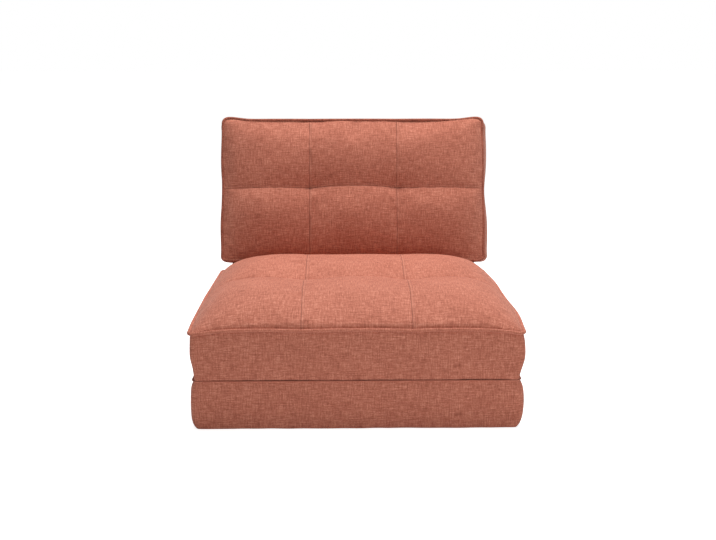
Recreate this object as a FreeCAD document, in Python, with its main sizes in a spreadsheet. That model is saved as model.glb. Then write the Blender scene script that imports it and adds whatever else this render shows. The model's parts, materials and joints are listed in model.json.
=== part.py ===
import FreeCAD, Part
import math
import os
import re

import Sketcher
from FreeCAD import Placement, Rotation, Vector

# Driving sizes in millimetres; recline and tooth_count are degrees and a number.
SIZES = {
    # Seat layer and foot layer, between seam centres
    "seat_width": 750,
    "seat_length": 666,
    "seat_height": 113.7,
    "foot_height": 113.7,
    "layer_gap": 0.6,
    "seat_corner": 16,
    "seat_crest": 68,
    "seat_seam_crest": 58,
    "seat_cross_crest": 50,
    "seat_tuft": 33,
    "seat_waist": 13,
    "seat_swell": 1.5,
    "waist_height": 24,
    "foot_waist": 14,
    "foot_swell": 1.5,
    "foot_base_round": 18,
    # Back, between seam centres
    "back_narrower": 14,
    "back_length": 407,
    "back_thick": 120,
    "back_corner": 20,
    "back_crest": 38,
    "back_seam_crest": 31,
    "back_cross_crest": 26,
    "back_tuft": 14,
    "back_swell": 10,
    "back_pinch_swell": 3,
    "back_rear_round": 14,
    "recline": 16,
    # Hinge pins: rear of the seat, above its top seam, and from the back's two near faces
    "pivot_behind_seat": 17,
    "pivot_above_seam": 10,
    "pivot_to_back_base": 16.3,
    "pivot_to_back_seam": 12,
    # Cloth, foam and piping
    "cover_thick": 3,
    "foam_gap": 0.3,
    "seam_rise": 2,
    "piping_radius": 4.5,
    "piping_core_radius": 2.5,
    "piping_gap": 0.4,
    "piping_to_foam": 1,
    "fold_offset": 0.5,
    "fold_seam_radius": 1.2,
    # Seat frame
    "seat_tube_radius": 11,
    "seat_frame_side": 50,
    "seat_frame_inset": 40,
    "seat_frame_rise": 20.7,
    "frame_corner": 45,
    "crossbar_radius": 8,
    "crossbar_pitch": 220,
    "tube_wall": 1.5,
    # Back frame
    "back_tube_radius": 9.5,
    "back_frame_inset": 30,
    "back_frame_corner": 35,
    "strap_width": 50,
    "strap_thick": 1.6,
    # Hinge plates
    "plate_gap": 0.3,
    "plate_thick": 5,
    "plate_spacing": 1,
    "washer_thick": 0.8,
    "plate_eye": 14,
    "bracket_reach": 190,
    "bracket_depth": 26,
    "upright_depth": 22.5,
    "arm_reach": 150,
    "arm_depth": 26,
    "slot_gap": 0.6,
    "pin_radius": 4,
    "pin_gap": 0.15,
    "pin_head_radius": 9,
    "pin_head_thick": 2,
    "tooth_count": 18,
    "tooth_root": 11.5,
    "tooth_height": 2.5,
    "tooth_base": 3.2,
    "tooth_tip": 0.9,
    # Leaf springs of the hinge steps
    "leaf_thick": 0.8,
    "leaf_tip_gap": 0.5,
    "leaf_length": 28,
    "leaf_tab": 16,
    "leaf_rivet_radius": 2,
    # Bolts
    "bolt_radius": 4,
    "bolt_gap": 0.2,
    "bolt_head_radius": 7,
    "bolt_head_thick": 5,
    "nut_thick": 6,
    "bolt_first": 22,
    "bolt_pitch": 55,
    # Tufting
    "tuft_cord_radius": 1.2,
    "toggle_radius": 12,
    "toggle_thick": 4,
    # Zips
    "zip_inset": 65,
    "zip_tape_width": 26,
    "zip_tape_thick": 0.8,
    "zip_chain_width": 5,
    "zip_chain_thick": 1.4,
    "seat_zip_rise": 44,
    "foot_zip_rise": 57,
    "back_zip_rise": 54,
    "slider_length": 11,
    "slider_width": 9,
    "slider_gap": 0.3,
    "slider_roof": 1.2,
    "slider_pin_rise": 2.2,
    "slider_pin_radius": 0.7,
    "slider_pin_gap": 0.2,
    "pull_eye_radius": 1.7,
    "pull_length": 22,
    "pull_width": 7,
    "pull_thick": 1.4,
    "pull_neck_width": 4.4,
    "pull_neck_length": 3.6,
    "lug_thick": 1.4,
    "lug_gap": 0.3,
    "lug_sink": 0.4,
}

# Places in each unit's own frame: x across, y from the first border, z from the lower face
SEAT_FRAME_HALF = "(seat_width / 2 - seat_frame_side)"
BACK_WIDTH = "(seat_width - back_narrower)"
ZIP_LENGTH = "(seat_width - 2 * zip_inset)"
SEAT_PIVOT_Y = "(seat_length + pivot_behind_seat)"
SEAT_PIVOT_Z = "(seat_height + pivot_above_seam)"
BACK_PIVOT_Y = "(0 - pivot_to_back_base)"
BACK_PIVOT_Z = "(back_thick - pivot_to_back_seam)"
BRACKET_NEAR = f"({SEAT_FRAME_HALF} + seat_tube_radius + plate_gap)"
BRACKET_FAR = f"({BRACKET_NEAR} + plate_thick)"
ARM_FAR = f"({BRACKET_NEAR} - plate_spacing)"
ARM_NEAR = f"({ARM_FAR} - plate_thick)"
BACK_FRAME_HALF = f"({ARM_NEAR} - plate_gap - back_tube_radius)"
BACK_FRAME_LEVEL = f"({BACK_PIVOT_Z} - arm_depth / 2)"
BRACKET_FRONT = "(seat_length - bracket_reach)"
SLIDER_BASE = "(zip_tape_thick + slider_gap)"
SLIDER_TOP = f"({SLIDER_BASE} + zip_chain_thick + slider_roof)"
SLIDER_PIN = f"({SLIDER_TOP} + slider_pin_rise)"

ALONG_X = Rotation(Vector(0, 1, 0), 90)
ALONG_Y = Rotation(Vector(1, 0, 0), -90)
SIDES = {"left": -1, "right": 1}

document = FreeCAD.newDocument("chair_bed")
sheet = document.addObject("Spreadsheet::Sheet", "Sizes")
for row, (alias, number) in enumerate(SIZES.items(), start=1):
    sheet.set(f"A{row}", alias)
    sheet.set(f"B{row}", str(number))
    sheet.setAlias(f"B{row}", alias)
document.recompute()

ALIASES = re.compile(r"\b(" + "|".join(SIZES) + r")\b")
parts = {"seat": [], "foot": [], "back": []}


def on_sheet(text):
    """The expression with the sheet's name before each size name."""
    return ALIASES.sub(r"Sizes.\1", text)


def value(text):
    """The number that an expression in size names gives."""
    return float(sheet.evalExpression(on_sheet(text)))


def bind(thing, **expressions):
    """Ties properties to sheet expressions; x, y and z stand for the placement's base."""
    for name, text in expressions.items():
        path = f"Placement.Base.{name}" if name in "xyz" else name
        thing.setExpression(path, on_sheet(text))
    return thing


def box(name, x, y, z, length, width, height):
    block = document.addObject("Part::Box", name)
    return bind(block, x=x, y=y, z=z, Length=length, Width=width, Height=height)


def rod(name, turn, x, y, z, radius, length):
    cylinder = document.addObject("Part::Cylinder", name)
    cylinder.Placement = Placement(Vector(), turn)
    return bind(cylinder, x=x, y=y, z=z, Radius=radius, Height=length)


def fuse(name, pieces):
    whole = document.addObject("Part::MultiFuse", name)
    whole.Shapes = pieces
    whole.Refine = True
    return whole


def cut(name, base, *tools):
    """The base less its tools, one boolean for each tool."""
    for index, tool in enumerate(tools):
        label = name if index == len(tools) - 1 else f"{name}_less_{tool.Name}"
        rest = document.addObject("Part::Cut", label)
        rest.Base = base
        rest.Tool = tool
        base = rest
    return base


def group(name, pieces):
    """Several separate solids of one kind, kept under one name."""
    whole = document.addObject("Part::Compound", name)
    whole.Links = pieces
    return whole


def keep(unit, thing, name):
    """Lists a finished sub-part with the unit that it belongs to."""
    thing.Label = name
    parts[unit].append(thing)
    return thing


def solid_feature(unit, name, shape):
    feature = document.addObject("Part::Feature", name)
    feature.Shape = shape
    return keep(unit, feature, name)


def tube_loop(name, half, near, far, level, corner, radius):
    """A closed rectangular loop of round bar: four straight runs and four quarter bends."""
    inner_half = f"({half} - {corner})"
    run = f"({far} - {near} - 2 * {corner})"
    pieces = [
        rod(f"{name}_front", ALONG_X, f"0 - {inner_half}", near, level, radius, f"2 * {inner_half}"),
        rod(f"{name}_rear", ALONG_X, f"0 - {inner_half}", far, level, radius, f"2 * {inner_half}"),
        rod(f"{name}_left", ALONG_Y, f"0 - {half}", f"{near} + {corner}", level, radius, run),
        rod(f"{name}_right", ALONG_Y, half, f"{near} + {corner}", level, radius, run),
    ]
    quarters = (
        (inner_half, f"{far} - {corner}"),
        (f"0 - {inner_half}", f"{far} - {corner}"),
        (f"0 - {inner_half}", f"{near} + {corner}"),
        (inner_half, f"{near} + {corner}"),
    )
    for index, (x, y) in enumerate(quarters):
        bend = document.addObject("Part::Torus", f"{name}_bend_{index}")
        bend.Placement = Placement(Vector(), Rotation(Vector(0, 0, 1), 90 * index))
        bend.Angle3 = 90
        pieces.append(bind(bend, x=x, y=y, z=level, Radius1=corner, Radius2=radius))
    return fuse(name, pieces)


# Soft forms

def pillow(share, peak, row):
    """Height along half a cushion: an ellipse up to the peak, then a wave down to the tuft row."""
    if share < 0.5:
        return peak * math.sqrt(1 - (1 - 2 * share) ** 2)
    return row + (peak - row) * (1 + math.cos(2 * math.pi * (share - 0.5))) / 2


def side_edges(points):
    """Edges through alternate ends and middles; a middle of None is a straight edge."""
    edges = []
    for start, middle, end in zip(points[0::2], points[1::2], points[2::2]):
        if middle is None:
            edges.append(Part.LineSegment(start, end).toShape())
        else:
            edges.append(Part.Arc(start, middle, end).toShape())
    return edges


def round_inset(radius, distance):
    """How far a rounded corner of this radius lies inside its square at a distance along it."""
    if distance >= radius:
        return 0
    return radius - math.sqrt(radius ** 2 - (radius - distance) ** 2)


def mirrored(points):
    """The right half's points from bottom to top, followed back down the left half."""
    return [None if p is None else Vector(-p.x, p.y, p.z) for p in reversed(points)]


def tufted_section(form, inset, distance, share, y):
    """One upright slice of a tufted cushion: base, drawn-in sides and three crowned fields."""
    half = form["half"] - inset - round_inset(form["corner"] - inset, distance)
    seam = form["half"] / 3
    low = inset
    top = form["height"] - inset
    waist = half - form["waist"]
    swell = pillow(share, form["swell"], form["row_swell"])
    crest = form["rise"] + pillow(share, form["crest"], form["cross_crest"])
    ridge = form["rise"] + pillow(share, form["seam_crest"], form["tuft"])
    middle_top = top + max(crest, ridge + form["rise"])
    side_low = half - form["waist"] * form["rest"]
    slope = form["waist_height"] * math.sqrt(0.5)
    hip = Vector(side_low, y, low + form["waist_height"])
    right = [
        Vector(waist, y, low),
        Vector(side_low - (side_low - waist) * (1 - math.sqrt(0.5)), y, low + form["waist_height"] - slope),
        hip,
        Vector((side_low + half) / 2 + form["rise"] / 4 + swell, y, (hip.z + top) / 2),
        Vector(half, y, top),
        Vector((half + seam) / 2, y, middle_top),
        Vector(seam, y, top + ridge),
    ]
    points = right + [Vector(0, y, middle_top)] + mirrored(right) + [None, right[0]]
    return Part.Wire(side_edges(points))


def plain_section(form, inset, distance, y):
    """One upright slice of the untufted foot layer, drawn in where it meets the seat."""
    half = form["half"] - inset - round_inset(form["corner"] - inset, distance)
    lift = round_inset(form["base_round"] - inset, distance)
    low = inset + lift
    top = form["height"] - inset
    side = half - form["rise"] / 2
    lower_end = low + form["base_round"] * math.sqrt(0.5)
    upper_end = top - form["waist_height"]
    step = 1 - math.sqrt(0.5)
    right = [
        Vector(side - form["waist"], y, low),
        Vector(side - form["waist"] * step, y, low + (lower_end - low) * step),
        Vector(side, y, lower_end),
        Vector(side + form["swell"], y, (lower_end + upper_end) / 2),
        Vector(side, y, upper_end),
        Vector(side - form["waist"] * step, y, top - form["waist_height"] * step),
        Vector(side - form["waist"], y, top),
    ]
    points = right + [None] + mirrored(right) + [None, right[0]]
    return Part.Wire(side_edges(points))


def cushion(form, inset):
    """A closed tufted cushion form with every face moved in by the inset."""
    length = form["length"] - 2 * inset
    corner = form["corner"] - inset
    near = [0, corner * 0.3, corner, length * 0.09, length * 0.25, length * 0.4]
    sections = []
    for along in near + [length / 2] + [length - d for d in reversed(near)]:
        distance = min(along, length - along)
        share = 2 * distance / length
        sections.append(tufted_section(form, inset, distance, share, along + inset))
    return Part.makeLoft(sections, True, False)


def plain_cushion(form, inset):
    """The foot layer's closed form: straight between short rounded stretches at its two ends."""
    length = form["length"] - 2 * inset
    rounding = max(form["corner"], form["base_round"]) - inset
    near = [rounding * share for share in (0, 0.06, 0.2, 0.45, 0.7, 1)]
    sections = []
    for along in near + [length - d for d in reversed(near)]:
        distance = min(along, length - along)
        sections.append(plain_section(form, inset, distance, along + inset))
    return Part.makeLoft(sections, True, True)


def form_solid(form, inset):
    return cushion(form, inset) if form["crest"] else plain_cushion(form, inset)


def slab(form, low, high):
    """A block wider and longer than the cushion, between two levels."""
    spare = form["half"]
    size = Vector(4 * spare, form["length"] + 2 * spare, high - low)
    return Part.makeBox(size.x, size.y, size.z, Vector(-2 * spare, -spare, low))


def reach_rod(start, axis, radius, length):
    return Part.makeCylinder(radius, length, start, axis)


def covers(unit, form, names, groove, openings):
    """Cuts a cushion's cover into top panel, border and base panel along its seams."""
    outside = form_solid(form, 0)
    inside = form_solid(form, form["cover"])
    skin = outside.cut(inside)
    high = form["height"] + 2 * form["half"]
    top_seam = form["height"] if form["crest"] else form["height"] - form["cover"]
    bands = {
        names[0]: skin.common(slab(form, top_seam, high)),
        names[1]: skin.common(slab(form, form["cover"], top_seam)),
        names[2]: skin.common(slab(form, -form["cover"], form["cover"])),
    }
    for name, band in bands.items():
        for tool in groove + openings:
            band = band.cut(tool)
        solid_feature(unit, name, biggest(band))
    return inside


def biggest(shape):
    """The main solid of a cut, without any crumbs beside it."""
    return max(shape.Solids, key=lambda solid: solid.Volume)


SEAT = {
    "half": value("seat_width / 2"),
    "length": value("seat_length"),
    "height": value("seat_height"),
    "corner": value("seat_corner"),
    "crest": value("seat_crest"),
    "seam_crest": value("seat_seam_crest"),
    "cross_crest": value("seat_cross_crest"),
    "tuft": value("seat_tuft"),
    "waist": value("seat_waist"),
    "waist_height": value("waist_height"),
    "rest": 0.4,
    "swell": value("seat_swell"),
    "row_swell": value("seat_swell"),
    "rise": value("seam_rise"),
    "cover": value("cover_thick"),
}
FOOT = {
    "half": value("seat_width / 2"),
    "length": value("seat_length"),
    "height": value("foot_height"),
    "corner": value("seat_corner"),
    "crest": 0,
    "waist": value("foot_waist"),
    "waist_height": value("waist_height"),
    "swell": value("foot_swell"),
    "base_round": value("foot_base_round"),
    "rise": value("seam_rise"),
    "cover": value("cover_thick"),
}
BACK = {
    "half": value(f"{BACK_WIDTH} / 2"),
    "length": value("back_length"),
    "height": value("back_thick"),
    "corner": value("back_corner"),
    "crest": value("back_crest"),
    "seam_crest": value("back_seam_crest"),
    "cross_crest": value("back_cross_crest"),
    "tuft": value("back_tuft"),
    "waist": value("back_rear_round / 2"),
    "waist_height": value("back_rear_round"),
    "rest": 0,
    "swell": value("back_swell"),
    "row_swell": value("back_pinch_swell"),
    "rise": value("seam_rise"),
    "cover": value("cover_thick"),
}


# Frames, bars and straps

def hollow_loop(unit, name, half, near, far, level, corner, radius, wall):
    outer = tube_loop(f"{name}_outside", half, near, far, level, corner, radius)
    bore = tube_loop(f"{name}_bore", half, near, far, level, corner, f"({radius} - {wall})")
    return outer, bore


def bolt_places(unit):
    """Where the bolts of one hinge plate cross its frame tube, in the unit's frame."""
    if unit == "seat":
        return [(f"({BRACKET_FRONT} + bolt_first + {n} * bolt_pitch)", "seat_frame_rise") for n in range(2)]
    return [(f"(arm_reach - bolt_first - {n} * bolt_pitch)", BACK_FRAME_LEVEL) for n in range(2)]


def bolt_holes(unit, prefix, start, length):
    """Clearance rods across both sides of a unit at its bolts, as one tool."""
    rods = []
    for index, (y, z) in enumerate(bolt_places(unit)):
        for side, sign in SIDES.items():
            x = start if sign > 0 else f"0 - {start} - {length}"
            label = f"{prefix}_{side}_{index}"
            rods.append(rod(label, ALONG_X, x, y, z, "bolt_radius + bolt_gap", length))
    return fuse(prefix, rods)


def bolts_and_nuts(unit, prefix, nut_face, head_face):
    """Bolts with hexagon heads outside the plate and nuts against the tube, both sides."""
    bolts = []
    nuts = []
    grip = f"({head_face} - {nut_face})"
    for index, (y, z) in enumerate(bolt_places(unit)):
        for side, sign in SIDES.items():
            label = f"{prefix}_{side}_{index}"
            reach = f"({grip} + nut_thick + 1)"
            shank_start = f"({nut_face} - nut_thick - 1)"
            x = shank_start if sign > 0 else f"0 - {head_face}"
            shank = rod(f"{label}_shank", ALONG_X, x, y, z, "bolt_radius", reach)
            head_x = head_face if sign > 0 else f"0 - {head_face} - bolt_head_thick"
            head = hexagon(f"{label}_head", head_x, y, z, "bolt_head_thick")
            bolts.append(fuse(f"{label}_bolt", [shank, head]))
            nut_x = f"{nut_face} - nut_thick" if sign > 0 else f"0 - {nut_face}"
            block = hexagon(f"{label}_block", nut_x, y, z, "nut_thick")
            thread = rod(f"{label}_thread", ALONG_X, x, y, z, "bolt_radius + pin_gap", reach)
            nuts.append(cut(f"{label}_nut", block, thread))
    keep(unit, group(f"{prefix}_bolts", bolts), f"{prefix}_bolts")
    keep(unit, group(f"{prefix}_nuts", nuts), f"{prefix}_nuts")


def hexagon(name, x, y, z, thick):
    prism = document.addObject("Part::Prism", name)
    prism.Polygon = 6
    prism.Placement = Placement(Vector(), ALONG_X)
    return bind(prism, x=x, y=y, z=z, Circumradius="bolt_head_radius", Height=thick)


def seat_frame():
    place = (SEAT_FRAME_HALF, "seat_frame_inset", "(seat_length - seat_frame_inset)",
             "seat_frame_rise", "frame_corner", "seat_tube_radius")
    outer, bore = hollow_loop("seat", "seat_frame", *place, "tube_wall")
    holes = bolt_holes("seat", "seat_frame_holes", f"({SEAT_FRAME_HALF} - 2 * seat_tube_radius)",
                       "(4 * seat_tube_radius)")
    keep("seat", cut("seat_frame", outer, bore, holes), "seat_frame")
    bars = []
    for index, sign in enumerate((-1, 1)):
        y = f"seat_length / 2 + {sign} * crossbar_pitch / 2"
        x = f"0 - {SEAT_FRAME_HALF}"
        long = f"2 * {SEAT_FRAME_HALF}"
        bar = rod(f"crossbar_{index}_full", ALONG_X, x, y, "seat_frame_rise", "crossbar_radius", long)
        hole = rod(f"crossbar_{index}_bore", ALONG_X, x, y, "seat_frame_rise",
                   "crossbar_radius - tube_wall", long)
        bars.append(cut(f"crossbar_{index}", bar, hole, outer))
    keep("seat", group("seat_crossbars", bars), "seat_crossbars")


def back_frame():
    place = (BACK_FRAME_HALF, "back_frame_inset", "(back_length - back_frame_inset)",
             BACK_FRAME_LEVEL, "back_frame_corner", "back_tube_radius")
    outer, bore = hollow_loop("back", "back_frame", *place, "tube_wall")
    holes = bolt_holes("back", "back_frame_holes", f"({BACK_FRAME_HALF} - 2 * back_tube_radius)",
                       "(4 * back_tube_radius)")
    keep("back", cut("back_frame", outer, bore, holes), "back_frame")


def strap_centre(index):
    """Across the back, straps run up the middle of each half field, clear of the tufts."""
    return f"({BACK_WIDTH} * ({index} - 1.5) / 6)"


def back_webbing():
    """Four upright straps in front of the back frame, looped round its two cross runs."""
    straps = []
    inner = "(back_tube_radius + piping_gap)"
    outer = f"({inner} + strap_thick)"
    near = "back_frame_inset"
    run = "(back_length - 2 * back_frame_inset)"
    for index in range(4):
        x = f"({strap_centre(index)} - strap_width / 2)"
        band = box(f"strap_{index}_band", x, near, f"{BACK_FRAME_LEVEL} + {inner}",
                   "strap_width", run, "strap_thick")
        loops = []
        bores = []
        for end, y in enumerate((near, f"({near} + {run})")):
            loops.append(rod(f"strap_{index}_loop_{end}", ALONG_X, x, y, BACK_FRAME_LEVEL,
                             outer, "strap_width"))
            bores.append(rod(f"strap_{index}_bore_{end}", ALONG_X, f"{x} - 1", y, BACK_FRAME_LEVEL,
                             inner, "strap_width + 2"))
        whole = fuse(f"strap_{index}_whole", [band] + loops)
        straps.append(cut(f"strap_{index}", whole, *bores))
    keep("back", group("back_webbing", straps), "back_webbing")


# Hinges

def origin_plane(body, role):
    return next(item for item in body.Origin.OriginFeatures if item.Role == role)


def plate_sketch(body, name, x, y, z):
    """A sketch on the body's side plane, moved to a place in the unit's frame."""
    sketch = body.newObject("Sketcher::SketchObject", name)
    sketch.AttachmentSupport = (origin_plane(body, "YZ_Plane"), [""])
    sketch.MapMode = "FlatFace"
    for axis, text in zip("xyz", (y, z, x)):
        sketch.setExpression(f".AttachmentOffset.Base.{axis}", on_sheet(text))
    return sketch


def polygon(sketch, corners):
    """A closed outline whose corners are placed by expressions from the sketch's origin."""
    places = [(value(a), value(b)) for a, b in corners]
    for index, (a, b) in enumerate(places):
        c, d = places[(index + 1) % len(places)]
        sketch.addGeometry(Part.LineSegment(Vector(a, b, 0), Vector(c, d, 0)), False)
    for index in range(len(places)):
        follower = (index + 1) % len(places)
        sketch.addConstraint(Sketcher.Constraint("Coincident", index, 2, follower, 1))
    for index, texts in enumerate(corners):
        for kind, text in zip(("DistanceX", "DistanceY"), texts):
            number = value(text)
            forward = number >= 0
            ends = (-1, 1, index, 1) if forward else (index, 1, -1, 1)
            sign = "" if forward else "0 - "
            row = sketch.addConstraint(Sketcher.Constraint(kind, *ends, abs(number)))
            sketch.renameConstraint(row, f"{kind}_{index}")
            sketch.setExpression(f"Constraints.{kind}_{index}", on_sheet(f"{sign}({text})"))


def disc(sketch, radius, name):
    """A circle about the sketch's origin."""
    ring = sketch.addGeometry(Part.Circle(Vector(), Vector(0, 0, 1), value(radius)), False)
    sketch.addConstraint(Sketcher.Constraint("Coincident", ring, 3, -1, 1))
    row = sketch.addConstraint(Sketcher.Constraint("Radius", ring, value(radius)))
    sketch.renameConstraint(row, name)
    sketch.setExpression(f"Constraints.{name}", on_sheet(radius))


def pad(body, sketch, name, length):
    feature = body.newObject("PartDesign::Pad", name)
    feature.Profile = sketch
    feature.setExpression("Length", on_sheet(length))
    return feature


def pocket_through(body, sketch, name):
    feature = body.newObject("PartDesign::Pocket", name)
    feature.Profile = sketch
    feature.Type = 1
    feature.Midplane = True
    return feature


def rectangle(y0, z0, y1, z1):
    return [(y0, z0), (y1, z0), (y1, z1), (y0, z1)]


def hinge_bracket(side, sign):
    """A plate along the seat frame's side tube that rises behind the seat to the hinge pin."""
    name = f"{side}_hinge_bracket"
    x = BRACKET_NEAR if sign > 0 else f"(0 - {BRACKET_FAR})"
    body = document.addObject("PartDesign::Body", name)
    foot_low = f"(0 - {SEAT_PIVOT_Z} + seat_frame_rise - bracket_depth / 2)"
    foot_front = f"({BRACKET_FRONT} - {SEAT_PIVOT_Y})"
    outline = plate_sketch(body, f"{name}_outline", x, SEAT_PIVOT_Y, SEAT_PIVOT_Z)
    polygon(outline, [
        (foot_front, foot_low),
        ("upright_depth / 2", foot_low),
        ("upright_depth / 2", "0"),
        ("0 - upright_depth / 2", "0"),
        ("0 - upright_depth / 2", f"({foot_low} + bracket_depth)"),
        (foot_front, f"({foot_low} + bracket_depth)"),
    ])
    pad(body, outline, f"{name}_plate", "plate_thick")
    eye = plate_sketch(body, f"{name}_eye_outline", x, SEAT_PIVOT_Y, SEAT_PIVOT_Z)
    disc(eye, "plate_eye", "eye_radius")
    pad(body, eye, f"{name}_eye", "plate_thick")
    bore = plate_sketch(body, f"{name}_bore_outline", x, SEAT_PIVOT_Y, SEAT_PIVOT_Z)
    disc(bore, "pin_radius + pin_gap", "bore_radius")
    pocket_through(body, bore, f"{name}_bore")
    for index, (y, z) in enumerate(bolt_places("seat")):
        hole = plate_sketch(body, f"{name}_hole_outline_{index}", x, y, z)
        disc(hole, "bolt_radius + bolt_gap", "hole_radius")
        pocket_through(body, hole, f"{name}_hole_{index}")
    rivet = plate_sketch(body, f"{name}_leaf_outline", x, SEAT_PIVOT_Y, leaf_rivet_level())
    disc(rivet, "leaf_rivet_radius + pin_gap", "leaf_hole_radius")
    pocket_through(body, rivet, f"{name}_leaf_hole")
    keep("seat", body, name)


def back_arm(side, sign):
    """A plate with a toothed disc about the hinge pin and a blade bolted to the back frame."""
    name = f"{side}_back_arm"
    x = ARM_NEAR if sign > 0 else f"(0 - {ARM_FAR})"
    body = document.addObject("PartDesign::Body", name)
    hub = plate_sketch(body, f"{name}_hub_outline", x, BACK_PIVOT_Y, BACK_PIVOT_Z)
    disc(hub, "tooth_root", "root_radius")
    pad(body, hub, f"{name}_hub", "plate_thick")
    tooth = plate_sketch(body, f"{name}_tooth_outline", x, BACK_PIVOT_Y, BACK_PIVOT_Z)
    half_step = "180 / tooth_count"
    tooth.setExpression(".AttachmentOffset.Rotation.Angle", on_sheet(f"180 + recline + {half_step}"))
    polygon(tooth, [
        ("tooth_root - 1", "0 - tooth_base / 2"),
        ("tooth_root + tooth_height", "0 - tooth_tip / 2"),
        ("tooth_root + tooth_height", "tooth_tip / 2"),
        ("tooth_root - 1", "tooth_base / 2"),
    ])
    first = pad(body, tooth, f"{name}_tooth", "plate_thick")
    bore = plate_sketch(body, f"{name}_bore_outline", x, BACK_PIVOT_Y, BACK_PIVOT_Z)
    teeth = body.newObject("PartDesign::PolarPattern", f"{name}_teeth")
    teeth.Originals = [first]
    teeth.Axis = (bore, ["N_Axis"])
    teeth.Angle = 360
    teeth.setExpression("Occurrences", on_sheet("tooth_count"))
    body.Tip = teeth
    blade = plate_sketch(body, f"{name}_blade_outline", x, BACK_PIVOT_Y, BACK_PIVOT_Z)
    polygon(blade, rectangle("0", "0 - arm_depth", "arm_reach + pivot_to_back_base", "0"))
    pad(body, blade, f"{name}_blade", "plate_thick")
    disc(bore, "pin_radius + pin_gap", "bore_radius")
    pocket_through(body, bore, f"{name}_bore")
    for index, (y, z) in enumerate(bolt_places("back")):
        hole = plate_sketch(body, f"{name}_hole_outline_{index}", x, y, z)
        disc(hole, "bolt_radius + bolt_gap", "hole_radius")
        pocket_through(body, hole, f"{name}_hole_{index}")
    keep("back", body, name)


def leaf_rivet_level():
    """The height of the leaf spring's rivet above the seat's base."""
    return f"({SEAT_PIVOT_Z} - tooth_root - leaf_tip_gap - leaf_length - leaf_tab / 2)"


def detent_spring(side, sign):
    """A leaf that stands on a tab riveted to the bracket and dips between two teeth."""
    name = f"{side}_detent_spring"
    tab_near = f"({BRACKET_NEAR} - leaf_thick)"
    tab_x = tab_near if sign > 0 else f"0 - {BRACKET_NEAR}"
    leaf_x = ARM_NEAR if sign > 0 else f"0 - {BRACKET_NEAR}"
    leaf_width = f"{BRACKET_NEAR} - {ARM_NEAR}"
    tab_low = f"({leaf_rivet_level()} - leaf_tab / 2)"
    tab = box(f"{name}_tab_block", tab_x, f"{SEAT_PIVOT_Y} - leaf_tab / 2", tab_low,
              "leaf_thick", "leaf_tab", "leaf_tab")
    hole = rod(f"{name}_hole", ALONG_X, f"{tab_x} - 1", SEAT_PIVOT_Y, leaf_rivet_level(),
               "leaf_rivet_radius + pin_gap", "leaf_thick + 2")
    leaf = box(f"{name}_leaf", leaf_x, f"{SEAT_PIVOT_Y} - leaf_thick / 2",
               f"{tab_low} + leaf_tab - leaf_thick", leaf_width, "leaf_thick", "leaf_length + leaf_thick")
    keep("seat", fuse(name, [cut(f"{name}_tab", tab, hole), leaf]), name)


def spring_rivets():
    rivets = []
    for side, sign in SIDES.items():
        inner = f"({BRACKET_NEAR} - leaf_thick - pin_gap)"
        reach = "(plate_thick + leaf_thick + 2 * pin_gap)"
        x = inner if sign > 0 else f"0 - {inner} - {reach}"
        name = f"spring_rivet_{side}"
        shank = rod(f"{name}_shank", ALONG_X, x, SEAT_PIVOT_Y, leaf_rivet_level(),
                    "leaf_rivet_radius", reach)
        head_x = f"{inner} - leaf_thick" if sign > 0 else f"0 - {inner}"
        tail_x = f"{inner} + {reach}" if sign > 0 else f"0 - {inner} - {reach} - leaf_thick"
        ends = [
            rod(f"{name}_end_{end}", ALONG_X, place, SEAT_PIVOT_Y, leaf_rivet_level(),
                "2 * leaf_rivet_radius", "leaf_thick")
            for end, place in enumerate((head_x, tail_x))
        ]
        rivets.append(fuse(name, [shank] + ends))
    keep("seat", group("spring_rivets", rivets), "spring_rivets")


def pivot_rivet(side, sign):
    """The hinge pin: a shank through arm, washer and bracket with a flat head at each end."""
    name = f"{side}_pivot_rivet"
    inner = f"({ARM_NEAR} - pin_gap)"
    reach = f"({BRACKET_FAR} + pin_gap - {inner})"
    x = inner if sign > 0 else f"0 - {inner} - {reach}"
    shank = rod(f"{name}_shank", ALONG_X, x, SEAT_PIVOT_Y, SEAT_PIVOT_Z, "pin_radius", reach)
    near_x = f"{inner} - pin_head_thick" if sign > 0 else f"0 - {inner}"
    far_x = f"{inner} + {reach}" if sign > 0 else f"0 - {inner} - {reach} - pin_head_thick"
    heads = [
        rod(f"{name}_head_{end}", ALONG_X, place, SEAT_PIVOT_Y, SEAT_PIVOT_Z,
            "pin_head_radius", "pin_head_thick")
        for end, place in enumerate((near_x, far_x))
    ]
    keep("seat", fuse(name, [shank] + heads), name)


def pivot_washer(side, sign):
    name = f"{side}_pivot_washer"
    start = f"({BRACKET_NEAR} - plate_spacing / 2 - washer_thick / 2)"
    x = start if sign > 0 else f"(0 - {start} - washer_thick)"
    ring = rod(f"{name}_disc", ALONG_X, x, SEAT_PIVOT_Y, SEAT_PIVOT_Z, "tooth_root - 1", "washer_thick")
    bore = rod(f"{name}_bore", ALONG_X, f"{x} - 1", SEAT_PIVOT_Y, SEAT_PIVOT_Z,
               "pin_radius + pin_gap", "washer_thick + 2")
    keep("seat", cut(name, ring, bore), name)


# Zips, in a frame with x along the zip and z out of the border

def zip_tape(prefix):
    """The tape, with the closed chain of teeth along its middle."""
    start = f"0 - {ZIP_LENGTH} / 2"
    tape = box(f"{prefix}_tape_cloth", start, "0 - zip_tape_width / 2", "0",
               ZIP_LENGTH, "zip_tape_width", "zip_tape_thick")
    chain = box(f"{prefix}_chain", start, "0 - zip_chain_width / 2", "zip_tape_thick",
                ZIP_LENGTH, "zip_chain_width", "zip_chain_thick")
    return fuse(f"{prefix}_zip_tape", [tape, chain])


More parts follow.
